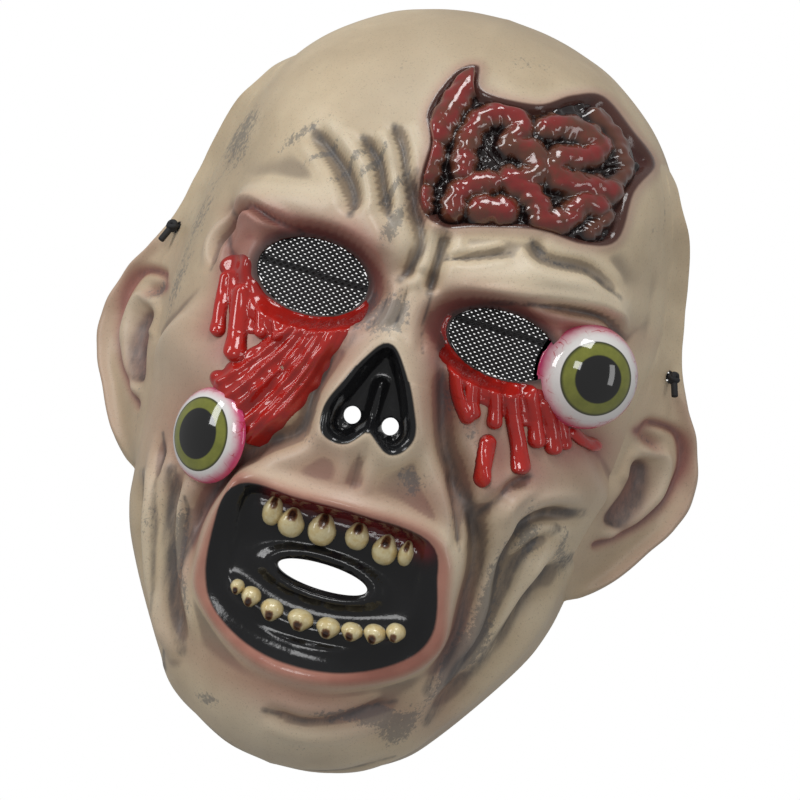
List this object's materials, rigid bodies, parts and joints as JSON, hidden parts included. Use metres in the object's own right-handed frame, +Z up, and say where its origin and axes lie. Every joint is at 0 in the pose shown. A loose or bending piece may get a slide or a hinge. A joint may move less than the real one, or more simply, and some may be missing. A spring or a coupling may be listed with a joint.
{
  "type": "monster mask",
  "caption": "Moulded half mask of a bald zombie face with open brain relief, loose eyeballs, bared teeth, mesh eyes and an elastic cord that goes round the back of the head.",
  "frame": {"origin": "midway between the two strap holes, where the elastic holds the mask on a head", "axes": "+Z up from chin to crown, -Y the way the face looks, +X towards the viewer's right of the face"},
  "size_m": [0.239, 0.219, 0.2896],
  "materials": {
    "painted_skin": "satin paint on moulded foam rubber, glossy in the mouth, nose, brain and gore",
    "black_mesh": "matte perforated mesh",
    "glossy_eyeball": "high gloss with a painted olive iris and red veins",
    "black_elastic": "round braided elastic"
  },
  "bodies": {
    "root": {"face_shell": "painted_skin", "eye_mesh_left": "black_mesh", "eye_mesh_right": "black_mesh", "eyeball_left": "glossy_eyeball", "eyeball_right": "glossy_eyeball", "strap_cord": "black_elastic", "strap_knot_left": "black_elastic", "strap_knot_right": "black_elastic"}
  },
  "joints": []
}
